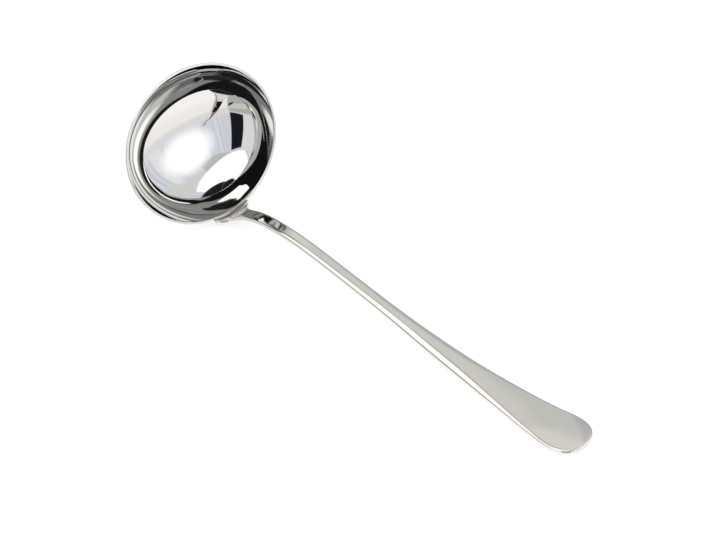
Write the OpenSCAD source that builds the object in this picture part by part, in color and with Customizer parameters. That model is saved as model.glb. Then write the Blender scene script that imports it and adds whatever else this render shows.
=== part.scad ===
// Soup ladle: a deep drawn bowl, a forged handle lapped on its outer wall, and the weld that joins them.
// The pieces are drawn with the lip level, the handle's root toward +X and the opening up.
// place() then lays the ladle down as it rests on a table: on the handle's foot and on the back of its tip.

/* [Bowl] */
// Outside of the lip along the handle's side of the bowl
bowl_length = 90.2; // [70:0.2:110]
// Outside of the lip across the handle
bowl_width = 96.6; // [76:0.2:118]
// Inside depth below the lip
bowl_depth = 32; // [24:0.2:42]
// Thickness of the sheet
sheet = 1.5; // [1:0.1:2.2]
// How far the widest level of the bowl's curve would lie above the lip
lip_lift = 13.4; // [4:0.5:20]
// How square the bowl's curve is from wall to floor: 2 is an ellipse
bowl_square = 2.35; // [2:0.05:3]
// How much more oval the floor is than the lip, as a share
floor_oval = 0.14; // [0:0.01:0.18]
// Radius of the softened edges of the lip
lip_round = 0.45; // [0.2:0.05:0.5]
// Width of the flat buffed on the underside
base_flat = 16; // [10:1:22]

/* [Handle foot] */
// Width of the fan where it leaves the lip
foot_width = 24; // [18:0.5:28]
// Thickness of the foot
foot_thick = 2.6; // [2:0.1:3.4]
// How far the foot laps down the wall
foot_lap = 10; // [7:0.5:13]
// Height over which the fan draws in to the neck
fan_height = 21; // [16:0.5:28]

/* [Handle bar] */
// Length along the bar from the lip to the end of the tip
bar_length = 264; // [220:1:310]
// Width of the neck
neck_width = 7.8; // [6:0.1:10]
// Thickness of the neck
neck_thick = 4; // [3:0.1:5]
// Width of the slimmest stretch, past the arch
waist_width = 6.8; // [5.5:0.1:9]
// How far the rounding of the top edges reaches in from the sides at the waist
waist_bevel = 2.1; // [1:0.1:2.6]
// Length along the bar at which it starts to widen
flare_start = 133; // [110:1:150]
// Width part of the way along the widening
flare_width = 10.7; // [8:0.1:13]
// Thickness there
flare_thick = 4.5; // [3.4:0.1:5.2]
// How far the rounding of the top edges reaches in there
flare_bevel = 3.4; // [1.5:0.1:3.8]
// Greatest width, near the tip
tip_width = 21; // [17:0.2:28]
// Thickness at the tip
tip_thick = 2.3; // [1.8:0.1:3.5]
// Length of the rounded end
tip_round = 14; // [10:0.5:20]
// How square the rounded end is: 2 is an ellipse
tip_square = 2.4; // [2:0.1:3]
// How far the rounding of the top edges reaches in at the tip
tip_bevel = 1.4; // [0.8:0.1:2]
// Height of the crown on the top face at the tip
tip_crown = 0.3; // [0:0.05:0.8]

/* [Handle bend] */
// Heading of the bar at the lip, from level and outward, in degrees
root_heading = 109; // [98:1:118]
// Heading where the bar leaves the arch
arch_heading = 73.5; // [64:0.5:84]
// Heading at the tip
tip_heading = 92; // [80:1:100]
// Length along the bar at which the arch ends
arch_end = 100; // [80:1:105]

/* [Weld] */
// Leg of the fillet round the foot
bead_leg = 1.3; // [0.8:0.1:1.8]

/* [Hidden] */
steel = [0.80, 0.81, 0.82];
brushed = [0.74, 0.74, 0.73];
weld_grey = [0.66, 0.66, 0.67];

// Gap between pieces that are pressed together, so that their faces meet and don't cross
seat_gap = 0.02;
around = 80;
wall_steps = 10;
drop = bowl_depth + sheet;
oval = bowl_width / bowl_length;
lip_r = bowl_length / 2;

// Bowl's curve: (radius / widest)^2 + (height / h)^bowl_square = 1, over a height h
// depth is where the curve ends below the lip, and r its radius at the lip
function widest_r(r, h) = r / sqrt(1 - pow(lip_lift / h, bowl_square));
function curve_r(z, r, depth) =
    let (h = depth + lip_lift)
    widest_r(r, h) * sqrt(1 - pow((lip_lift - z) / h, bowl_square));

function outer_r(z) = curve_r(z, lip_r, drop);

// Depth at which the outer curve is as wide as the base flat
curve_h = drop + lip_lift;
base_z = lip_lift - curve_h * pow(1 - pow(base_flat / 2 / widest_r(lip_r, curve_h), 2), 1 / bowl_square);

// Ratio of width to length at height z, from the lip's to the floor's
function oval_at(z) = oval * (1 + floor_oval * max(0, -z) / drop);

// Radius and height along a wall, from just below the lip to its lowest ring
function wall_profile(r, depth, top, low) =
    let (h = depth + lip_lift, half = bowl_square / 2,
         a0 = asin(pow((lip_lift - top) / h, half)), a1 = asin(pow((lip_lift - low) / h, half)))
    [for (i = [0:wall_steps]) let (a = a0 + (a1 - a0) * i / wall_steps)
        [widest_r(r, h) * cos(a), lip_lift - h * pow(sin(a), 1 / half)]];

// Lip's flat edge and the quarter round from it to the wall, at one side of the sheet
function lip_arc(r, side) =
    [for (a = [90:-22.5:22.5]) [r + side * lip_round * (cos(a) - 1), lip_round * (sin(a) - 1)]];

// Closed ring of the oval at radius r and height z
function oval_ring(r, z) =
    [for (i = [0:around - 1]) [r * cos(360 * i / around), r * oval_at(z) * sin(360 * i / around), z]];

// Solid skinned over rings that all have the same number of points
module skin(rings) {
    count = len(rings[0]);
    last = (len(rings) - 1) * count;
    sides = [for (j = [0:len(rings) - 2]) for (i = [0:count - 1])
        let (k = (i + 1) % count, a = j * count, b = a + count)
        each [[a + i, b + i, b + k], [a + i, b + k, a + k]]];
    polyhedron(
        points = [for (r = rings) each r],
        faces = concat(sides, [[for (i = [0:count - 1]) i]], [[for (i = [count - 1:-1:0]) last + i]]),
        convexity = 6
    );
}

function reverse(list) = [for (i = [len(list) - 1:-1:0]) list[i]];

// Profile of the outside, from the lip's flat down to the base flat
function outer_profile() = concat(lip_arc(lip_r, 1), wall_profile(lip_r, drop, -lip_round, base_z));

function inner_profile() =
    concat(lip_arc(lip_r - sheet, -1),
           wall_profile(lip_r - sheet, bowl_depth, -lip_round, -bowl_depth + 0.02));

module bowl_form() {
    skin([for (p = concat(reverse(outer_profile()), inner_profile())) oval_ring(p[0], p[1])]);
}

// Smooth curve through stations of [place, value], level where the values turn
function slope_at(st, i) =
    i == 0 || i == len(st) - 1 ? 0 :
    let (a = (st[i][1] - st[i - 1][1]) / (st[i][0] - st[i - 1][0]),
         b = (st[i + 1][1] - st[i][1]) / (st[i + 1][0] - st[i][0]))
    a * b <= 0 ? 0 : 2 * a * b / (a + b);

function smooth(st, s, i = 0) =
    s <= st[0][0] ? st[0][1] :
    s >= st[len(st) - 1][0] ? st[len(st) - 1][1] :
    s > st[i + 1][0] ? smooth(st, s, i + 1) :
    let (d = st[i + 1][0] - st[i][0], t = (s - st[i][0]) / d)
    st[i][1] * (1 + 2 * t) * pow(1 - t, 2) + slope_at(st, i) * d * t * pow(1 - t, 2)
        + st[i + 1][1] * t * t * (3 - 2 * t) - slope_at(st, i + 1) * d * t * t * (1 - t);

// Stations along the bar, measured from the lip
widest = bar_length - tip_round;
function along_flare(share) = flare_start + share * (widest - flare_start);
heading_st = [[0, root_heading], [arch_end * 0.25, root_heading - 9], [arch_end * 0.5, arch_heading + 11.7],
    [arch_end, arch_heading], [along_flare(0.15), arch_heading], [along_flare(0.49), arch_heading + 3.2],
    [along_flare(0.81), arch_heading + 6.2], [bar_length, tip_heading]];
width_st = [[-foot_lap, foot_width - 4], [0, foot_width], [fan_height * 0.5, neck_width + 4],
    [fan_height, neck_width], [arch_end, waist_width], [flare_start, waist_width + 0.3],
    [along_flare(0.44), flare_width], [along_flare(0.7), flare_width + 0.38 * (tip_width - flare_width)],
    [along_flare(0.915), tip_width - 1.9], [widest, tip_width]];
thick_st = [[-foot_lap, foot_thick - 1], [0, foot_thick], [fan_height, neck_thick],
    [arch_end, neck_thick - 0.1], [along_flare(0.44), flare_thick], [along_flare(0.79), tip_thick + 0.8],
    [bar_length, tip_thick]];
crown_st = [[along_flare(0.44), 0], [widest, tip_crown], [bar_length, tip_crown * 0.5]];
bevel_st = [[0, 0.15], [fan_height, 1.4], [arch_end, waist_bevel], [along_flare(0.44), flare_bevel],
    [along_flare(0.915), tip_bevel], [bar_length, 0.6 * tip_bevel]];

// Rounded ends: 1 on the bar, falling to 0 at each end
function end_round(s) =
    s > widest ? pow(max(0, 1 - pow((s - widest) / tip_round, tip_square)), 1 / tip_square) :
    s < -foot_lap * 0.4 ? sqrt(max(0, 1 - pow((s + foot_lap * 0.4) / (foot_lap * 0.6), 2))) : 1;

function bar_width(s) = max(0.6, smooth(width_st, s) * end_round(s));
function bar_thick(s) = smooth(thick_st, s) * (s > bar_length - 2 ? 0.9 : 1);

// Places of the rings: below the lip, along the bar, and closer together toward both ends
foot_places = [for (a = [0:15:75]) -foot_lap * (0.4 + 0.6 * cos(a))];
low_places = [-foot_lap * 0.4, -foot_lap * 0.2, 0];
bar_step = 4;
bar_count = floor((widest - 2) / bar_step);
bar_places = [for (i = [1:bar_count]) i * (widest - 2) / bar_count];
tip_places = [for (a = [0:10:80]) widest + tip_round * sin(a)];
fine_tip = [for (a = [84, 87, 89]) widest + tip_round * sin(a)];
places = concat(foot_places, low_places, bar_places, tip_places, fine_tip);

// Top line of the bar in the plane of symmetry, as [x, z]
// Below the lip it lies on the wall, and above the lip it follows the heading
function wall_line(s) = [outer_r(s) + seat_gap, s];
function step_to(p, s0, s1) =
    let (h = smooth(heading_st, (s0 + s1) / 2)) p + (s1 - s0) * [cos(h), sin(h)];
bar_line = [for (i = 0, p = wall_line(places[0]); i < len(places);
    i = i + 1,
    p = i >= len(places) ? p : places[i] <= 0 ? wall_line(places[i])
        : step_to(p, places[i - 1], places[i])) p];

// The foot's sections are level, and above the lip they turn square to the bar
turn_height = 8;
function section_turn(s) =
    s <= 0 ? 90 : let (t = min(1, s / turn_height)) 90 + (smooth(heading_st, s) - 90) * t;

// Rounded section of the bar as [across, up] points, top face first
// bevel is how far the top edges' rounding reaches in: the foot is nearly square there, to seat on the wall
function section(w, t, crown, bevel) =
    let (r = min(0.36 * t, 0.45 * w), e = min(bevel, 0.45 * w), d = min(0.62 * e, t - r - 0.05),
         f = w / 2 - e, g = w / 2 - r)
    concat(
        [for (k = [-3:3]) [f * k / 3, crown * (1 - pow(k / 3, 2))]],
        [for (a = [67.5:-22.5:0]) [f + e * cos(a), d * sin(a) - d]],
        [for (a = [0:-30:-90]) [g + r * cos(a), r - t + r * sin(a)]],
        [[0, -t]],
        [for (a = [-90:-30:-180]) [-g + r * cos(a), r - t + r * sin(a)]],
        [for (a = [180:-22.5:112.5]) [-f + e * cos(a), d * sin(a) - d]]
    );

// How far the wall falls back from the plane of the foot, at height z and distance y from the middle
function fall_back(y, z) = outer_r(z) * (1 - sqrt(1 - pow(y / (outer_r(z) * oval_at(z)), 2)));
function wrap(s) = s <= 0 ? 1 : pow(max(0, 1 - s / fan_height), 1.5);

function bar_ring(i) =
    let (s = places[i], h = section_turn(s), p = bar_line[i],
         sec = section(bar_width(s), bar_thick(s), smooth(crown_st, s), smooth(bevel_st, s)))
    [for (q = sec) let (n = q[1] + wrap(s) * fall_back(q[0], min(0, s)))
        [p[0] - sin(h) * n, q[0], p[1] + cos(h) * n]];
bar_rings = [for (i = [0:len(places) - 1]) bar_ring(i)];

// Fillet round the edge of the foot, in the corner between its side and the wall
function wall_point(y, z) = [outer_r(z) - fall_back(y, z), y, z];
bead_places = concat([-lip_round - bead_leg], [for (k = [0.22, 0.31]) -foot_lap * k],
    [for (a = [90:-15:15]) -foot_lap * (0.4 + 0.6 * cos(a))]);
bead_side = [for (s = bead_places) wall_point(bar_width(s) / 2, s)];
bead_line = concat(bead_side, [wall_point(0, -foot_lap)],
    [for (p = reverse(bead_side)) [p[0], -p[1], p[2]]]);
function unit(v) = v / norm(v);
function wall_normal(p) =
    let (rise = bowl_square / 2 * pow((lip_lift - p[2]) / curve_h, bowl_square - 1) / curve_h)
    unit([p[0], p[1] / pow(oval_at(p[2]), 2), -rise * pow(widest_r(lip_r, curve_h), 2)]);
function bead_ring(i) =
    let (p = bead_line[i], last = len(bead_line) - 1,
         along = unit(bead_line[min(last, i + 1)] - bead_line[max(0, i - 1)]),
         out = wall_normal(p), side = unit(cross(out, along)),
         leg = bead_leg * (i == 0 || i == last ? 0.5 : 1))
    [for (q = concat([[seat_gap, seat_gap]], [for (a = [0:22.5:90]) [1 - sin(a), 1 - cos(a)] * leg
        + [seat_gap, seat_gap]]))
        p + q[0] * side + q[1] * out];

// Resting pose: the lean at which the foot's side and the tip's back touch the table together
function reach(points, a) = max([for (p = points) p[0] * cos(a) - p[2] * sin(a)]);
bowl_side = [for (p = outer_profile()) [p[0], 0, p[1]]];
tip_points = [for (i = [0:len(places) - 1]) if (places[i] > flare_start) each bar_rings[i]];
root_points = concat(bowl_side,
    [for (i = [0:len(places) - 1]) if (places[i] < fan_height) each bar_rings[i]]);
function rest_lean(low = -20, high = 45, tries = 30) =
    let (mid = (low + high) / 2)
    tries == 0 ? mid :
    reach(tip_points, mid) > reach(root_points, mid) ? rest_lean(mid, high, tries - 1)
        : rest_lean(low, mid, tries - 1);
lean = rest_lean();
table_drop = max(reach(root_points, lean), reach(tip_points, lean));
bowl_back = min([for (p = bowl_side) each [for (x = [-p[0], p[0]]) x * sin(lean) + p[2] * cos(lean)]]);
tip_front = max([for (p = tip_points) p[0] * sin(lean) + p[2] * cos(lean)]);
middle = (bowl_back + tip_front) / 2;

module place() {
    translate([-middle, 0, table_drop]) rotate([0, 90 - lean, 0]) children();
}

module bowl() {
    color(steel) place() bowl_form();
}

module handle() {
    color(brushed) place() skin(reverse(bar_rings));
}

module weld() {
    color(weld_grey) place() skin([for (i = [0:len(bead_line) - 1]) bead_ring(i)]);
}

echo(lean = lean, table_drop = table_drop, middle = middle, base_z = base_z);

bowl();
handle();
weld();
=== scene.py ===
# %% [markdown]
# # A soup ladle in polished steel
# The ladle is three pieces of steel: a bowl drawn from one sheet, a solid bar for the handle, and the weld that
# joins them. Steel has hardly any colour of its own. What the eye reads as polished steel is the room, bent by
# the form. So two things matter here: surfaces that are truly smooth, and a studio worth reflecting.

# %% Load the frame
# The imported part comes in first. Everything is in metres, and its place is already right.
import math

import bpy
import numpy as np
from mathutils import Matrix, Vector


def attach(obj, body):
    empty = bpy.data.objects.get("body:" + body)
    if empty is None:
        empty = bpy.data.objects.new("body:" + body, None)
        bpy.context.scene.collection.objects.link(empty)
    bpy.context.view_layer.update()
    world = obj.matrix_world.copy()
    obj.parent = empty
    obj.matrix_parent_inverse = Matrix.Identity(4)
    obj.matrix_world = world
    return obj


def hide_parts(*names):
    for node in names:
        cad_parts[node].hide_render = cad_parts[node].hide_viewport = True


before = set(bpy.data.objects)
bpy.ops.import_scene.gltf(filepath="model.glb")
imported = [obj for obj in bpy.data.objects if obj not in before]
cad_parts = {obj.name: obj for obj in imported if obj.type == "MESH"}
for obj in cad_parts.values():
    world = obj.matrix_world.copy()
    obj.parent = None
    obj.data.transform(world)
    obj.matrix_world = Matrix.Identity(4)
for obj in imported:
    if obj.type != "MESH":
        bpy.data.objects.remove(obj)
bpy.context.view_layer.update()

# %% [markdown]
# ## The camera
# The photograph was taken from above and in front of the opening, with the camera rolled a little, so that the
# handle runs down to the right. A camera is a place, a direction, a roll and a lens. With the picture 716 pixels
# wide and a sensor 36 mm wide, a lens of 50 mm gives the same mild perspective.

# %% Camera
EYE = Vector((0.3233, -0.2047, 0.3444))
LOOK = Vector((-0.6371, 0.4147, -0.6497))
ROLL = math.radians(12.3)
LENS = 50.28

camera = bpy.data.objects.new("camera", bpy.data.cameras.new("camera"))
bpy.context.scene.collection.objects.link(camera)
camera.data.lens = LENS
camera.data.sensor_width = 36.0
camera.data.clip_start = 0.01
turn = LOOK.to_track_quat("-Z", "Y").to_matrix() @ Matrix.Rotation(-ROLL, 3, "Z")
camera.matrix_world = Matrix.Translation(EYE) @ turn.to_4x4()
bpy.context.scene.camera = camera
print("camera at", tuple(round(v, 3) for v in EYE), "lens", LENS)

# %% [markdown]
# ## Grids into meshes
# Each piece is a skin stretched over rings: a grid whose rows are closed loops and whose columns run along the
# piece. One helper turns such an array into a mesh. It also stores the grid's own two parameters as a UV map,
# so that a polishing streak can follow the form.

# %% Helper: a skin over rings
def skin(name, rings, closed_ends=True):
    """Quads between neighbouring rings; ring i and ring i + 1 share an edge loop, and fans close the two ends.
    rings is an array (rows, around, 3) in metres. The order of points has to put the faces' fronts outside."""
    rows, around, _ = rings.shape
    points = rings.reshape(-1, 3)
    row, col = np.meshgrid(np.arange(rows - 1), np.arange(around), indexing="ij")
    nxt = (col + 1) % around
    quads = np.stack([row * around + col, row * around + nxt, (row + 1) * around + nxt, (row + 1) * around + col], -1)
    faces = [tuple(q) for q in quads.reshape(-1, 4).tolist()]
    if closed_ends:
        first, last = rings[0].mean(0), rings[-1].mean(0)
        points = np.vstack([points, first, last])
        a, b, base = rows * around, rows * around + 1, (rows - 1) * around
        faces += [(a, int((k + 1) % around), k) for k in range(around)]
        faces += [(b, base + k, base + int((k + 1) % around)) for k in range(around)]
    mesh = bpy.data.meshes.new(name)
    mesh.from_pydata(points.tolist(), [], faces)
    u = np.tile(np.arange(around) / around, rows)
    v = np.repeat(np.arange(rows) / (rows - 1), around)
    u, v = np.append(u, [0.5, 0.5]), np.append(v, [0.0, 1.0])
    corner = np.zeros(len(mesh.loops), np.int32)
    mesh.loops.foreach_get("vertex_index", corner)
    uv = np.stack([u[corner], v[corner]], -1)
    # the last quad of each ring ends at u = 1 and not at 0
    wrap = np.zeros(len(corner), bool)
    wrap[: quads.size] = (np.tile([0, 1, 1, 0], quads.size // 4) == 1) & (corner[: quads.size] % around == 0)
    uv[wrap, 0] = 1.0
    layer = mesh.uv_layers.new(name="grid")
    layer.data.foreach_set("uv", uv.astype(np.float32).ravel())
    mesh.polygons.foreach_set("use_smooth", np.ones(len(mesh.polygons), bool))
    mesh.validate()
    mesh.update()
    piece = bpy.data.objects.new(name, mesh)
    bpy.context.scene.collection.objects.link(piece)
    print(name, "points", len(points), "faces", len(faces))
    return piece

# %% [markdown]
# ## How the ladle lies
# It is easiest to think of a ladle with its lip level. So each form is worked out that way, in millimetres, with
# the handle's root toward +X. Lying on a table, the ladle rests on the handle's foot and on the back of its tip,
# and the lip leans back a little past upright. One turn and one shift take the level ladle to that pose.

# %% Helper: from the level ladle to the resting one
LEAN = math.radians(9.183)
SHIFT = np.array([-116.93, 0.0, 47.108])


def lay_down(points):
    """x' = x sin(lean) + z cos(lean), z' = -x cos(lean) + z sin(lean), then the shift, then mm to metres."""
    x, y, z = points[..., 0], points[..., 1], points[..., 2]
    s, c = math.sin(LEAN), math.cos(LEAN)
    return (np.stack([x * s + z * c, y, -x * c + z * s], -1) + SHIFT) * 0.001

# %% [markdown]
# ## The bowl
# A drawn bowl is nearly a surface of revolution, pressed a little oval. Its profile is part of a superellipse:
# an exponent of 2 would give an ellipse, and a larger one gives the steeper wall and broader floor of a ladle.
# The widest level would lie above the lip, so the wall is still opening where it is cut off. The lip is ground
# flat and its two edges are broken, which is what gives the thin bright line round the opening. Mirror steel
# shows every facet, so the rings are packed closely, and closest where the lip turns over.

# %% Bowl: sizes
LIP = 45.1  # radius of the lip, in line with the handle
OVAL = 96.6 / 90.2  # width to length at the lip
FLOOR_OVAL = 0.14  # share by which that ratio grows from the lip to the floor
DEPTH = 32.0  # inside the bowl, from the lip to the floor
SHEET = 1.5
LIFT = 13.4  # the widest level's height over the lip
SQUARE_WALL = 2.35  # the superellipse's exponent
SOFT = 0.45  # rounding of the lip's two edges
BASE = 8.0  # radius of the flat under the bowl
RINGS_AROUND = 256
LAST_RING = 0.25  # radius at which the inside is closed by a fan


def widest(lip, depth):
    """Radius at the widest level, worked out from the radius at the lip."""
    return lip / np.sqrt(1 - (LIFT / (depth + LIFT)) ** SQUARE_WALL)


def wall_radius(z, lip, depth):
    """(radius / widest)^2 + ((lift - z) / (depth + lift))^square = 1, solved for the radius."""
    return widest(lip, depth) * np.sqrt(np.maximum(1 - ((LIFT - z) / (depth + LIFT)) ** SQUARE_WALL, 0))


def oval_at(z):
    """Ratio of width to length at height z: it grows from the lip to the floor."""
    return OVAL * (1 + FLOOR_OVAL * np.maximum(-z, 0) / (DEPTH + SHEET))


def wall_profile(lip, depth, end_radius, steps):
    """The same curve walked by an angle a: radius = widest cos a, and (lift - z) / h = (sin a)^(2 / square)."""
    h = depth + LIFT
    a_lip = np.arcsin(((LIFT + SOFT) / h) ** (SQUARE_WALL / 2))
    a_end = np.arccos(end_radius / widest(lip, depth))
    a = np.linspace(a_lip, a_end, steps)
    return np.stack([widest(lip, depth) * np.cos(a), LIFT - h * np.sin(a) ** (2 / SQUARE_WALL)], -1)

# %% Bowl: profile and skin
def lip_turn(radius, side, steps=8):
    """A quarter circle from the lip's flat to the wall: side is 1 on the outside and -1 on the inside."""
    a = np.radians(np.linspace(90, 12, steps))
    return np.stack([radius + side * SOFT * (np.cos(a) - 1), SOFT * (np.sin(a) - 1)], -1)


outside = np.vstack([lip_turn(LIP, 1), wall_profile(LIP, DEPTH + SHEET, BASE, 90)])
inside = np.vstack([lip_turn(LIP - SHEET, -1), wall_profile(LIP - SHEET, DEPTH, LAST_RING, 110)])
# the flat under the bowl
floor_rings = np.stack([np.linspace(0.4, BASE - 0.4, 4), np.full(4, outside[-1, 1])], -1)
profile = np.vstack([floor_rings, outside[::-1], inside])
angle = np.linspace(0, 2 * np.pi, RINGS_AROUND, endpoint=False)
ring_x = profile[:, :1] * np.cos(angle)
ring_y = profile[:, :1] * oval_at(profile[:, 1:]) * np.sin(angle)
bowl_rings = np.stack([ring_x, ring_y, np.broadcast_to(profile[:, 1:], ring_x.shape)], -1)
bowl = skin("bowl_shell", lay_down(bowl_rings))
print("bowl inside depth", DEPTH, "mm, sheet", SHEET, "mm, oval", round(OVAL, 3))

# %% [markdown]
# ## The handle
# The handle is one forged bar. Its width, thickness, heading and edge rounding all change along its length, and
# a designer would draw each as a curve through a few stations. The same is done here: a smooth curve through
# stations gives each value at any place, the heading is added up into a line, and a rounded section is carried
# along it. Below the lip the bar becomes a fan that laps round the outside of the bowl.

# %% Handle: smooth curves through stations
def through(stations, s):
    """Cubic pieces between stations. The slope at each is the harmonic mean of its neighbours' slopes, or zero
    where the values turn, so the curve never overshoots."""
    x, y = np.array(stations, float).T
    d = np.diff(y) / np.diff(x)
    m = np.zeros_like(y)
    same = d[:-1] * d[1:] > 0
    m[1:-1][same] = 2 * d[:-1][same] * d[1:][same] / (d[:-1][same] + d[1:][same])
    s = np.clip(s, x[0], x[-1])
    i = np.clip(np.searchsorted(x, s) - 1, 0, len(x) - 2)
    h = x[i + 1] - x[i]
    t = (s - x[i]) / h
    return (y[i] * (1 + 2 * t) * (1 - t) ** 2 + m[i] * h * t * (1 - t) ** 2
            + y[i + 1] * t * t * (3 - 2 * t) - m[i + 1] * h * t * t * (1 - t))

# %% Handle: sizes and stations
LENGTH, LAP, FAN = 264.0, 10.0, 21.0
FOOT_W, FOOT_T, NECK_W, NECK_T, WAIST_W = 24.0, 2.6, 7.8, 4.0, 6.8
FLARE, FLARE_W, FLARE_T, TIP_W, TIP_T = 133.0, 10.7, 4.5, 21.0, 2.3
TIP_ROUND, SQUARE = 14.0, 2.4
WIDEST = LENGTH - TIP_ROUND
ARCH = 100.0
SEAT = 0.02


def flare(share):
    """Place along the bar, as a share of the stretch from where it starts to widen to where it is widest."""
    return FLARE + share * (WIDEST - FLARE)


heading = [(0, 109), (ARCH / 4, 100), (ARCH / 2, 85.2), (ARCH, 73.5), (flare(0.15), 73.5), (flare(0.49), 76.7),
           (flare(0.81), 79.7), (LENGTH, 92)]
width = [(-LAP, FOOT_W - 4), (0, FOOT_W), (FAN / 2, NECK_W + 4), (FAN, NECK_W), (ARCH, WAIST_W),
         (FLARE, WAIST_W + 0.3), (flare(0.44), FLARE_W), (flare(0.7), FLARE_W + 0.38 * (TIP_W - FLARE_W)),
         (flare(0.915), TIP_W - 1.9), (WIDEST, TIP_W)]
thick = [(-LAP, FOOT_T - 1), (0, FOOT_T), (FAN, NECK_T), (ARCH, NECK_T - 0.1), (flare(0.44), FLARE_T),
         (flare(0.79), TIP_T + 0.8), (LENGTH, TIP_T)]
crown = [(flare(0.44), 0), (WIDEST, 0.3), (LENGTH, 0.15)]
bevel = [(0, 0.15), (FAN, 1.4), (ARCH, 2.1), (flare(0.44), 3.4), (flare(0.915), 1.4), (LENGTH, 0.84)]
print("handle widens from", round(FLARE), "to", round(WIDEST), "mm along")

# %% Handle: its line
def half_round(s):
    """1 along the bar, falling to 0 at both ends by the curve x^p + y^p = 1; the foot uses p = 2."""
    tip = np.clip((s - WIDEST) / TIP_ROUND, 0, 1)
    foot = np.clip((-s - LAP * 0.4) / (LAP * 0.6), 0, 1)
    return (1 - tip ** SQUARE) ** (1 / SQUARE) * np.sqrt(1 - foot ** 2)


# places along the bar, closer together where its outline turns: the foot's end, the lap, the bar and the tip
quarter = np.radians(np.linspace(0, 89, 26))
places = np.concatenate([-LAP * (0.4 + 0.6 * np.cos(np.radians(np.linspace(6, 90, 15)))), np.linspace(-3.6, -0.4, 6),
                         np.linspace(0, WIDEST, 330), WIDEST + TIP_ROUND * np.sin(quarter[1:])])
above = places >= 0
middle = (places[above][1:] + places[above][:-1]) / 2
step = np.diff(places[above])[:, None] * np.stack([np.cos(np.radians(through(heading, middle))),
                                                   np.sin(np.radians(through(heading, middle)))], -1)
start = np.array([LIP + SEAT, 0.0])
line_above = np.vstack([start, start + np.cumsum(step, 0)])
below = places[~above]
line_below = np.stack([wall_radius(below, LIP, DEPTH + SHEET) + SEAT, below], -1)
bar_line = np.vstack([line_below, line_above])
print("tip ends at", np.round(bar_line[-1], 1), "mm from the bowl's centre")

# %% Handle: section and skin
def section(w, t, c, e):
    """Top face with a crown, top edges as quarter ellipses e wide, sides, and a back with round edges 0.36 t.
    All four inputs are columns, one value for each place; the result has (places, around, across and up)."""
    r = np.minimum(0.36 * t, 0.45 * w)
    e = np.minimum(e, 0.45 * w)
    d = np.minimum(0.62 * e, t - r - 0.05)
    f, g = w / 2 - e, w / 2 - r
    k = np.linspace(-1, 1, 17)
    top = [f * k, c * (1 - k * k)]
    a = np.radians(np.linspace(82, 0, 10))
    right = [f + e * np.cos(a), d * np.sin(a) - d]
    b = np.radians(np.linspace(0, -90, 10))
    right_back = [g + r * np.cos(b), r - t + r * np.sin(b)]
    m = np.linspace(0.8, -0.8, 9)
    back = [g * m, -t + 0 * m]
    left_back = [-right_back[0][:, ::-1], right_back[1][:, ::-1]]
    left = [-right[0][:, ::-1], right[1][:, ::-1]]
    parts = (top, right, right_back, back, left_back, left)
    return np.concatenate([np.stack(p, -1) for p in parts], 1)


def turn_of(s):
    """The sections are level at the lip and turn square to the bar over its first 8 mm."""
    h = through(heading, s)
    return np.radians(np.where(s <= 0, 90, 90 + (h - 90) * np.clip(s / 8, 0, 1)))


column = [v[:, None] for v in (np.maximum(through(width, places) * half_round(places), 0.6), through(thick, places),
                               through(crown, places), through(bevel, places))]
# the last 2 mm of the tip are a tenth thinner
column[1] = column[1] * np.where(places > LENGTH - 2, 0.9, 1.0)[:, None]
flat = section(*column)
across, up = flat[..., 0], flat[..., 1]
# the foot is bent round the wall: its sides fall back as the wall does, and this fades out up the fan
wall = wall_radius(np.minimum(places, 0), LIP, DEPTH + SHEET)[:, None]
side_ratio = across / (wall * oval_at(np.minimum(places, 0))[:, None])
fall = wall * (1 - np.sqrt(1 - np.minimum(side_ratio, 1) ** 2))
wrap = np.where(places <= 0, 1, np.clip(1 - places / FAN, 0, 1) ** 1.5)[:, None]
up = up + wrap * fall
tilt = turn_of(places)[:, None]
bar_rings = np.stack([bar_line[:, :1] - np.sin(tilt) * up, across, bar_line[:, 1:] + np.cos(tilt) * up], -1)
handle = skin("handle_bar", lay_down(bar_rings)[::-1])

# %% [markdown]
# ## The weld
# Where the foot laps the wall there is a dressed bead: a small hollow fillet that follows the foot's edge and
# fades out under the lip. It is carried along the foot's outline, lying in the corner between side and wall.

# %% Weld
BEAD = 1.3


def on_wall(y, z):
    """The point of the bowl's outside at height z and distance y from the middle."""
    r = wall_radius(z, LIP, DEPTH + SHEET)
    return np.stack([r * np.sqrt(np.maximum(1 - (y / (r * oval_at(z))) ** 2, 0)), y, z], -1)


# places down one side of the foot; the other side is their mirror image
edge_s = np.concatenate([[-SOFT - BEAD], -LAP * np.linspace(0.2, 0.38, 5),
                         -LAP * (0.4 + 0.6 * np.cos(np.radians(np.linspace(90, 4, 24))))])
edge = on_wall(np.maximum(through(width, edge_s) * half_round(edge_s), 0.6) / 2, edge_s)
nose = on_wall(np.array([0.0]), np.array([-LAP]))
bead_line = np.vstack([edge, nose, edge[::-1] * [1, -1, 1]])
along = np.gradient(bead_line, axis=0)
along /= np.linalg.norm(along, axis=1, keepdims=True)
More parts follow.
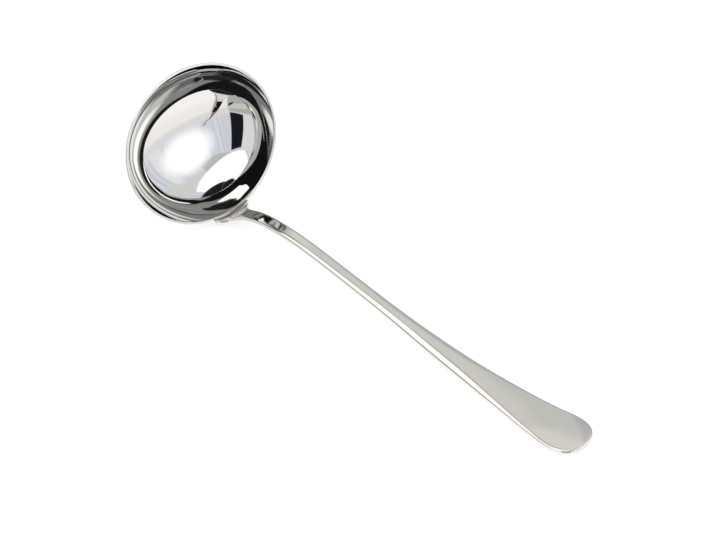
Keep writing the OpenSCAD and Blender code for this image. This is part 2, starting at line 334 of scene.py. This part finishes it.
# the wall's outward direction is the gradient of its formula
bead_z, wall_h = bead_line[:, 2], DEPTH + SHEET + LIFT
rise = SQUARE_WALL / 2 * ((LIFT - bead_z) / wall_h) ** (SQUARE_WALL - 1) / wall_h * widest(LIP, DEPTH + SHEET) ** 2
out = np.stack([bead_line[:, 0], bead_line[:, 1] / oval_at(bead_z) ** 2, -rise], -1)
out /= np.linalg.norm(out, axis=1, keepdims=True)
side = np.cross(out, along)
leg = BEAD * np.clip(np.minimum(np.arange(len(bead_line)), np.arange(len(bead_line))[::-1]) / 3, 0.5, 1)[:, None]
a = np.radians(np.linspace(0, 90, 9))
corner = np.vstack([[0, 0], np.stack([1 - np.sin(a), 1 - np.cos(a)], -1)])
bead_rings = (bead_line[:, None] + (corner[None, :, :1] * leg[:, None] + SEAT) * side[:, None]
              + (corner[None, :, 1:] * leg[:, None] + SEAT) * out[:, None])
weld = skin("weld_bead", lay_down(bead_rings))

# %% [markdown]
# ## Polished steel
# Polished steel is a metal shader with a pale, nearly neutral colour and a low roughness. A perfect mirror looks
# like glass, so the polish is broken up: faint streaks left by the polishing wheel, and a slow unevenness of the
# sheet. Both go into roughness and bump and not into colour. The streaks read the piece's own grid map, so they
# run round the bowl and along the bar.

# %% Helper: a steel with streaks
def steel(name, colour, rough, spread, streaks, wave, depth):
    """rough plus or minus spread, from noise stretched by streaks = (round, along) on the grid map; the bump is
    slow noise on Object coordinates, wave times per metre, depth in metres."""
    material = bpy.data.materials.new(name)
    material.use_nodes = True
    nodes, links = material.node_tree.nodes, material.node_tree.links
    shader = nodes["Principled BSDF"]
    shader.inputs["Metallic"].default_value = 1.0
    shader.inputs["Base Color"].default_value = (*colour, 1)
    grid = nodes.new("ShaderNodeUVMap")
    grid.uv_map = "grid"
    stretch = nodes.new("ShaderNodeMapping")
    stretch.inputs["Scale"].default_value = (streaks[0], streaks[1], 1)
    noise = nodes.new("ShaderNodeTexNoise")
    noise.inputs["Scale"].default_value = 1.0
    noise.inputs["Detail"].default_value = 3.0
    ramp = nodes.new("ShaderNodeMapRange")
    ramp.inputs["From Min"].default_value, ramp.inputs["From Max"].default_value = 0.3, 0.7
    ramp.inputs["To Min"].default_value, ramp.inputs["To Max"].default_value = rough - spread, rough + spread
    place = nodes.new("ShaderNodeTexCoord")
    slow = nodes.new("ShaderNodeTexNoise")
    slow.inputs["Scale"].default_value = wave
    slow.inputs["Detail"].default_value = 1.0
    bump = nodes.new("ShaderNodeBump")
    bump.inputs["Strength"].default_value = 1.0
    bump.inputs["Distance"].default_value = depth
    links.new(grid.outputs["UV"], stretch.inputs["Vector"])
    links.new(stretch.outputs["Vector"], noise.inputs["Vector"])
    links.new(noise.outputs["Fac"], ramp.inputs["Value"])
    links.new(ramp.outputs["Result"], shader.inputs["Roughness"])
    links.new(place.outputs["Object"], slow.inputs["Vector"])
    links.new(slow.outputs["Fac"], bump.inputs["Height"])
    links.new(bump.outputs["Normal"], shader.inputs["Normal"])
    return material


mirror = steel("mirror_steel", (0.80, 0.80, 0.80), rough=0.03, spread=0.01, streaks=(90, 2), wave=40, depth=4e-6)
satin = steel("satin_steel", (0.80, 0.79, 0.77), rough=0.07, spread=0.02, streaks=(8, 200), wave=60, depth=1e-5)
bead_steel = steel("ground_bead", (0.74, 0.73, 0.71), rough=0.3, spread=0.08, streaks=(12, 60), wave=400, depth=6e-5)
for piece, material, node, slot in ((bowl, mirror, "bowl", "bowl_steel"), (handle, satin, "handle", "handle_steel"),
                                    (weld, bead_steel, "weld", "weld_steel")):
    piece.data.materials.append(material)
    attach(piece, "root")
    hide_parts(node)
    print(piece.name, "wears", material.name)

# %% [markdown]
# ## The studio
# Polished steel is drawn by what it mirrors, so the studio is the real paint here. It was worked out backwards,
# from the light and dark patches seen in the bowl. The room is far away next to the ladle's size, so each lamp,
# wall and card is a patch of the sky with an azimuth and an elevation, and the whole room is one world shader.
# Azimuth is measured from +X toward +Y and elevation from the horizon, both in degrees.
#
# One thing in it isn't physical. A real room is the same however often a ray has met steel. Here the room is
# painted once for first reflections and again for second, third, fourth and later ones. The bowl's true wall is
# only roughly known, and this lets each reflection stand in its place.

# %% Helper: math on the sky
world = bpy.data.worlds.new("studio")
bpy.context.scene.world = world
world.use_nodes = True
sky_nodes, sky_links = world.node_tree.nodes, world.node_tree.links


def feed(socket, value):
    """Link a socket, or write a plain number or colour."""
    if isinstance(value, bpy.types.NodeSocket):
        sky_links.new(value, socket)
    elif isinstance(value, tuple):
        socket.default_value = (*value, 1)
    else:
        socket.default_value = value


def calc(operation, *values):
    """One Math node on sockets and numbers."""
    node = sky_nodes.new("ShaderNodeMath")
    node.operation = operation
    for socket, value in zip(node.inputs, values):
        feed(socket, value)
    return node.outputs["Value"]


def fade(value, low, high, to_low=0.0, to_high=1.0):
    """A smooth step of value from low to high."""
    node = sky_nodes.new("ShaderNodeMapRange")
    node.interpolation_type = "SMOOTHSTEP"
    for name, number in zip(("Value", "From Min", "From Max", "To Min", "To Max"), (value, low, high, to_low, to_high)):
        feed(node.inputs[name], number)
    return node.outputs["Result"]


def blend(share, below, above):
    """Colour above laid over colour below. A Mix node's colours are its inputs 6 and 7, and its output 2."""
    node = sky_nodes.new("ShaderNodeMix")
    node.data_type = "RGBA"
    feed(node.inputs[0], share)
    feed(node.inputs[6], below)
    feed(node.inputs[7], above)
    return node.outputs[2]

# %% Helper: patches of the sky
direction = sky_nodes.new("ShaderNodeTexCoord").outputs["Generated"]
split = sky_nodes.new("ShaderNodeSeparateXYZ")
sky_links.new(direction, split.inputs["Vector"])
# the azimuth runs from -100 to 260, so its seam lies beside the ladle
azimuth = calc("WRAP", calc("DEGREES", calc("ARCTAN2", split.outputs["Y"], split.outputs["X"])), 260.0, -100.0)
elevation = calc("DEGREES", calc("ARCSINE", split.outputs["Z"]))


def card(corners, soft):
    """Share of a many-sided card: its corners (azimuth, elevation) run counterclockwise, its edge is soft degrees
    wide. Each edge is a half plane, and the card is where all of them hold."""
    share = 1.0
    for (a0, e0), (a1, e1) in zip(corners, corners[1:] + corners[:1]):
        length = math.hypot(a1 - a0, e1 - e0)
        na, ne = -(e1 - e0) / length, (a1 - a0) / length
        inward = calc("MULTIPLY_ADD", azimuth, na, calc("MULTIPLY_ADD", elevation, ne, -(na * a0 + ne * e0)))
        edge_share = fade(inward, -soft / 2, soft / 2)
        share = edge_share if share == 1.0 else calc("MULTIPLY", share, edge_share)
    return share


def glow_spot(centre, radii, inner, outer):
    """Share of a soft round spot, 1 inside the inner and 0 outside the outer multiple of its radii."""
    a = calc("DIVIDE", calc("SUBTRACT", azimuth, centre[0]), radii[0])
    e = calc("DIVIDE", calc("SUBTRACT", elevation, centre[1]), radii[1])
    reach = calc("SQRT", calc("ADD", calc("MULTIPLY", a, a), calc("MULTIPLY", e, e)))
    return fade(reach, inner, outer, 1.0, 0.0)


def lay_cards(below, cards):
    """Cards laid over a sky, one after another. Each is (corners, soft, colour)."""
    for corners, soft, colour in cards:
        below = blend(card(corners, soft), below, colour)
    return below

# %% [markdown]
# ### The room that a first reflection finds
# In front of the bowl hangs a bluish white curtain, and below the horizon lies the paper of the table. The folds of
# the curtain are a noise that reads the azimuth alone, so they stand upright. Lamps and cards are laid over it as
# patches with straight edges. The steel gives back four fifths of the light, so a lamp has to be 1.25 or more to
# come out white.

# %% Studio: the room
folds = sky_nodes.new("ShaderNodeTexNoise")
folds.noise_dimensions = "1D"
folds.inputs["Detail"].default_value = 2.0
folds.inputs["Scale"].default_value = 0.22
sky_links.new(azimuth, folds.inputs["W"])
curtain = blend(fade(folds.outputs["Fac"], 0.42, 0.58), (0.68, 0.70, 0.76), (0.80, 0.82, 0.88))
first = blend(fade(elevation, -6.0, -17.0), curtain, (0.86, 0.84, 0.86))
first = blend(fade(elevation, -19.0, -25.0), first, (1.05, 1.01, 0.98))
first = blend(fade(elevation, -30.0, -44.0), first, (1.14, 1.10, 1.08))
print("the room takes", len(sky_nodes), "nodes")

# %% Studio: cards in front of the bowl
GREY_RIM = (0.75, 0.76, 0.74)
ROUND_LAMP = (1.27, 1.27, 1.27)
BIG_LAMP = (1.27, 1.27, 1.25)

first = lay_cards(first, [
    # a pale side wall
    ([(-100, -9), (-58, -6), (-54, 41), (-66, 45), (-100, 60)], 4, (0.83, 0.83, 0.81)),
    # the rim of the big lamp: two bands on one side and a darker one on the other
    ([(16, 35), (46, 37), (62, 54), (16, 54)], 4, GREY_RIM),
    ([(46, 37), (80, 14), (84, 40), (62, 54)], 4, GREY_RIM),
    ([(-34, 45), (-4, 35), (18, 35), (18, 54), (-20, 54)], 3, (0.58, 0.59, 0.57)),
    # a pale strip beside the round lamp
    ([(40, -14), (56, -14), (56, 30), (46, 38)], 6, (0.92, 0.92, 0.94)),
])
first = blend(glow_spot((20, 13), (29, 26), 0.62, 1.22), first, ROUND_LAMP)
first = lay_cards(first, [
    # the big lamp overhead
    ([(-98, 64), (-62, 45), (-22, 44), (64, 53), (70, 91), (-98, 91)], 2.5, BIG_LAMP),
    # a grey box low down, with a lighter face and a dark corner
    ([(-84, -46), (-50, -48), (-39, -30), (-38, -14), (-60, -8), (-84, -6)], 5, (0.50, 0.50, 0.46)),
    ([(-74, -24), (-44, -26), (-36, -20), (-60, -15), (-76, -16)], 4, (0.68, 0.68, 0.64)),
    ([(-52, -29), (-42, -28), (-38, -23), (-46, -25)], 1.5, (0.03, 0.03, 0.02)),
    # the one black card
    ([(-60, -6), (-38, -13), (-31, 41), (-53, 41)], 1.5, (0.012, 0.012, 0.016)),
])
print("with the cards in front,", len(sky_nodes), "nodes")

# %% [markdown]
# ### The room behind the bowl
# Rays from the camera glance off the handle and run on to the far side of the room, behind the bowl. That side is
# a wall in a few greys, a ceiling and white panels. Their borders are what the eye reads as the long bands along
# the handle.

# %% Studio: the room behind the bowl
PANEL = (1.2, 1.2, 1.18)
OVERHEAD = (0.016, 0.016, 0.016)

back = blend(fade(azimuth, 118.0, 129.0), (0.44, 0.44, 0.45), (0.64, 0.645, 0.62))
back = blend(fade(azimuth, 141.0, 147.0), back, (0.80, 0.77, 0.74))
back = blend(fade(elevation, 47.0, 53.0), back, (0.73, 0.72, 0.69))
back = blend(fade(elevation, 35.8, 34.2), back, (0.52, 0.52, 0.55))
first = blend(card([(84, -16), (196, -16), (206, 62), (84, 62)], 6), first, back)
first = lay_cards(first, [
    # a pale ceiling, and white panels low and at the side
    ([(84, 62), (206, 62), (206, 91), (84, 91)], 6, (0.90, 0.89, 0.86)),
    ([(158, -34), (206, -34), (206, 28), (158, 28)], 6, PANEL),
    ([(180, 10), (264, 6), (264, 70), (170, 70), (166, 61), (177, 54)], 5, (1.27, 1.27, 1.24)),
    # two dark strips, which draw the line along the handle's lower edge
    ([(152, 34), (176, 34), (176, 52), (164, 55), (152, 52)], 4, (0.32, 0.32, 0.32)),
    ([(145, 53), (170, 53), (170, 66), (145, 66)], 3, (0.50, 0.50, 0.49)),
])
first = blend(fade(elevation, 82.0, 84.0), first, OVERHEAD)
first = lay_cards(first, [
    # the dark gap overhead, between the big lamp and the ceiling
    ([(-60, 82), (30, 79), (95, 79), (95, 91), (-60, 91)], 2.5, OVERHEAD),
    ([(93, 66), (140, 74), (140, 91), (93, 91)], 2.5, OVERHEAD),
    ([(10, 79), (95, 53), (115, 62), (115, 80), (10, 80)], 2.5, OVERHEAD),
    # a white strip at the end of the side wall, and a grey box low behind with a dark face
    ([(-104, -4), (-90, -4), (-90, 60), (-104, 60)], 5, (1.2, 1.2, 1.2)),
    ([(204, -42), (258, -40), (258, -2), (204, -2)], 8, (0.78, 0.78, 0.76)),
    ([(224, -24), (246, -24), (246, 8), (226, 8)], 8, (0.36, 0.36, 0.34)),
])
print("with the room behind,", len(sky_nodes), "nodes")

# %% [markdown]
# ### Later reflections
# Near the lip the wall of the bowl mirrors the bowl itself, so the room is seen there at second hand, or at third.
# Each time the steel keeps a fifth of the light, and the curve squeezes the picture, so the cards run together into
# the dark ring under the lip. These skies are painted for that ring. The round lamp stays white in them, and black
# cards stand beside it.

# %% Studio: what the second reflection finds
SECOND_BLACK = (0.012, 0.012, 0.014)
WARM_WHITE = (1.05, 1.02, 1.0)

second = blend(fade(elevation, -16.0, 2.0), (0.19, 0.19, 0.19), (0.34, 0.34, 0.33))
second = lay_cards(second, [([(0, -40), (60, -50), (70, 34), (30, 36), (-4, 28)], 12, (0.75, 0.75, 0.73))])
second = blend(glow_spot((25, 14), (26, 17), 0.55, 1.25), second, (1.55, 1.55, 1.5))
second = lay_cards(second, [
    # the side wall, pale and then grey
    ([(-112, -46), (-64, -46), (-62, 50), (-112, 50)], 5, (0.85, 0.83, 0.81)),
    ([(-64, -46), (-48, -46), (-48, -12), (-64, -12)], 5, (0.42, 0.41, 0.40)),
    # three black cards side by side, which draw the ring
    ([(-61, -14), (-44, -14), (-35, -6), (-30, 6), (-30, 34), (-61, 34)], 4, SECOND_BLACK),
    ([(-61, 30), (-26, 30), (-8, 36), (2, 46), (2, 54), (-61, 54)], 4, SECOND_BLACK),
    ([(-52, -70), (-10, -70), (-17, -16), (-24, -6), (-40, -6), (-50, -34)], 4, SECOND_BLACK),
])
second = blend(fade(elevation, 52.0, 58.0), second, (0.30, 0.29, 0.27))
second = lay_cards(second, [
    # the high sky: grey and black on one side, white on the other
    ([(30, 46), (110, 46), (110, 62), (30, 62)], 5, (0.72, 0.71, 0.69)),
    ([(30, 68), (110, 68), (110, 91), (30, 91)], 5, (0.05, 0.05, 0.05)),
    ([(-110, 40), (-48, 48), (-48, 91), (-110, 91)], 6, WARM_WHITE),
    ([(228, 40), (262, 40), (262, 91), (228, 91)], 6, WARM_WHITE),
])
print("with the second sky,", len(sky_nodes), "nodes")

# %% Studio: what the third and later reflections find
THIRD_BLACK = (0.02, 0.02, 0.02)
LAMP_GLINT = (1.5, 1.5, 1.45)

third = blend(fade(elevation, -14.0, 4.0), (0.19, 0.19, 0.18), (0.34, 0.34, 0.33))
third = blend(glow_spot((12, 24), (20, 19), 0.5, 1.3), third, (1.5, 1.5, 1.44))
third = blend(fade(elevation, 52.0, 58.0), third, (0.12, 0.11, 0.10))
third = lay_cards(third, [
    ([(-112, 48), (-44, 48), (-44, 91), (-112, 91)], 5, (0.03, 0.03, 0.03)),
    ([(-60, -34), (-34, -34), (-33, 34), (-50, 40)], 6, THIRD_BLACK),
])
fourth = lay_cards(third, [([(-16, 24), (50, 24), (50, 60), (-16, 60)], 10, LAMP_GLINT)])
third = lay_cards(third, [([(31, -40), (70, -40), (70, 60), (31, 60)], 5, THIRD_BLACK)])
fifth = (1.15, 1.15, 1.12)
print("with the later skies,", len(sky_nodes), "nodes")

# %% [markdown]
# ### One sky for each reflection
# The Light Path node tells how often a ray has met polished steel. Backgrounds are mixed one over the other: plain
# white for the camera and the paper, and then the first, second, third, fourth and last sky. The world isn't
# sampled as a lamp, because a lamp's sample can't tell which reflection it belongs to.

# %% Studio: one sky for each reflection
path = sky_nodes.new("ShaderNodeLightPath")


def lay_over(share, below, colour):
    """One more background, seen in place of the one below where share is 1."""
    background = sky_nodes.new("ShaderNodeBackground")
    feed(background.inputs["Color"], colour)
    mix = sky_nodes.new("ShaderNodeMixShader")
    feed(mix.inputs[0], share)
    feed(mix.inputs[1], below)
    feed(mix.inputs[2], background.outputs["Background"])
    return mix.outputs["Shader"]


room = lay_over(path.outputs["Is Glossy Ray"], sky_nodes["Background"].outputs["Background"], first)
for past, sky in ((1.5, second), (2.5, third), (3.5, fourth), (4.5, fifth)):
    room = lay_over(calc("GREATER_THAN", path.outputs["Glossy Depth"], past), room, sky)
sky_nodes["Background"].inputs["Color"].default_value = (1, 1, 1, 1)
sky_links.new(room, sky_nodes["World Output"].inputs["Surface"])
world.cycles.sampling_method = "NONE"
print("the whole sky takes", len(sky_nodes), "nodes")

# %% [markdown]
# ## Cards close to the bowl
# A photographer also holds small cards close to the work. A far card has one direction for the whole ladle, but a
# near one has a place too, so it covers one part of the wall and leaves the next alone. Four flat cards stand
# upright before the bowl's mouth: two black ones, a white strip between them, and a grey one for the neck. The
# camera, the table and the shadows pass them by, and so does every ray but a second reflection. A real card can't
# do that. It keeps each card to the one reflection that it was cut for.

# %% Studio: four cards close to the bowl
MOUTH_CARDS = -0.060
NECK_CARD = -0.090


def near_card(name, corners, colour, plane=MOUTH_CARDS):
    """A flat card at x = plane in metres; its corners are (y, z) in mm. It glows where Glossy Depth is 2."""
    mesh = bpy.data.meshes.new(name)
    mesh.from_pydata([(plane, y * 0.001, z * 0.001) for y, z in corners], [], [tuple(range(len(corners)))])
    near = bpy.data.objects.new(name, mesh)
    bpy.context.scene.collection.objects.link(near)
    near.visible_camera = near.visible_diffuse = near.visible_shadow = False
    material = bpy.data.materials.new(name)
    material.use_nodes = True
    nodes, links = material.node_tree.nodes, material.node_tree.links
    glow, clear, pick = (nodes.new("ShaderNode" + kind) for kind in ("Emission", "BsdfTransparent", "MixShader"))
    reached, order = nodes.new("ShaderNodeLightPath"), nodes.new("ShaderNodeMath")
    order.operation = "COMPARE"
    order.inputs[1].default_value, order.inputs[2].default_value = 2.0, 0.5
    glow.inputs["Color"].default_value = (*colour, 1)
    links.new(reached.outputs["Glossy Depth"], order.inputs[0])
    links.new(order.outputs["Value"], pick.inputs[0])
    links.new(clear.outputs["BSDF"], pick.inputs[1])
    links.new(glow.outputs["Emission"], pick.inputs[2])
    links.new(pick.outputs["Shader"], nodes["Material Output"].inputs["Surface"])
    nodes.remove(nodes["Principled BSDF"])
    near.data.materials.append(material)
    print(name, "has", len(corners), "corners and stands at x", plane, "m")


near_card("dark_flag", [(-25, 138), (-25, 117), (-21.5, 89), (-18.5, 78), (-18, 65), (-14, 42), (-19, 28), (-28, 34),
                        (-34, 58), (-60, 76), (-88, 100), (-110, 170), (-40, 170)], (0.008, 0.008, 0.009))
near_card("white_strip", [(-18, 66), (-13, 67), (-9, 71), (-5, 75.5), (-2, 79), (-0.5, 83), (0, 87), (-4, 92),
                          (-4, 103), (-6, 110), (-5, 118), (-3, 127), (-8, 128), (-14, 122), (-25, 119),
                          (-21.5, 89), (-18.5, 78)], (1.6, 1.58, 1.5))
near_card("small_flag", [(-3, 98), (1, 95.5), (4, 90), (9, 91), (14, 98), (20, 98), (27, 106), (34, 124), (27, 146),
                         (18, 140), (9, 129), (4, 124), (-2, 119), (-4, 110)], (0.02, 0.02, 0.02))
near_card("neck_card", [(-52, 50), (-30, 46), (-10, 50), (-9, 56), (-14, 60), (-24, 64), (-46, 62)],
          (0.62, 0.61, 0.60), plane=NECK_CARD)

# %% [markdown]
# ## The table
# The ladle lies on plain white paper. The camera sees it white, with the ladle's soft shadow. It could be lit to
# white, but that light would also fall on the steel, so the paper glows a little for the camera alone. Rays that
# have met steel pass through it and find the paper's own patch of the sky, so the metal mirrors an even white table.

# %% Floor
FLOOR_SIZE = (8, 8)  # metres
FLOOR_Z = -0.0002
PAPER_GLOW = 0.35


def sheet_of(name, centre, u, v, size):
    """A flat card: corners at centre plus and minus half of size along u and v."""
    c, u, v = Vector(centre), Vector(u).normalized() * size[0] / 2, Vector(v).normalized() * size[1] / 2
    mesh = bpy.data.meshes.new(name)
    mesh.from_pydata([tuple(c - u - v), tuple(c + u - v), tuple(c + u + v), tuple(c - u + v)], [], [(0, 1, 2, 3)])
    flat_card = bpy.data.objects.new(name, mesh)
    bpy.context.scene.collection.objects.link(flat_card)
    return flat_card


floor = sheet_of("floor", (0, 0, FLOOR_Z), (1, 0, 0), (0, 1, 0), FLOOR_SIZE)
floor_paper = bpy.data.materials.new("floor_paper")
floor_paper.use_nodes = True
nodes, links = floor_paper.node_tree.nodes, floor_paper.node_tree.links
diffuse = nodes["Principled BSDF"]
diffuse.inputs["Base Color"].default_value = (0.85, 0.85, 0.85, 1)
diffuse.inputs["Roughness"].default_value = 0.9
diffuse.inputs["Specular IOR Level"].default_value = 0.0
floor_path = nodes.new("ShaderNodeLightPath")
glow = nodes.new("ShaderNodeEmission")
share = nodes.new("ShaderNodeMath")
share.operation = "MULTIPLY"
share.inputs[1].default_value = PAPER_GLOW
both = nodes.new("ShaderNodeAddShader")
clear = nodes.new("ShaderNodeBsdfTransparent")
pick = nodes.new("ShaderNodeMixShader")
links.new(floor_path.outputs["Is Camera Ray"], share.inputs[0])
links.new(share.outputs["Value"], glow.inputs["Strength"])
links.new(glow.outputs["Emission"], both.inputs[0])
links.new(diffuse.outputs["BSDF"], both.inputs[1])
links.new(floor_path.outputs["Is Glossy Ray"], pick.inputs[0])
links.new(both.outputs["Shader"], pick.inputs[1])
links.new(clear.outputs["BSDF"], pick.inputs[2])
links.new(pick.outputs["Shader"], nodes["Material Output"].inputs["Surface"])
floor.data.materials.append(floor_paper)
print("floor of", FLOOR_SIZE, "m")

# %% [markdown]
# ## The end
# The Standard view shows colours as they are, without a film curve.

# %% Finish
bpy.context.scene.view_settings.view_transform = "Standard"
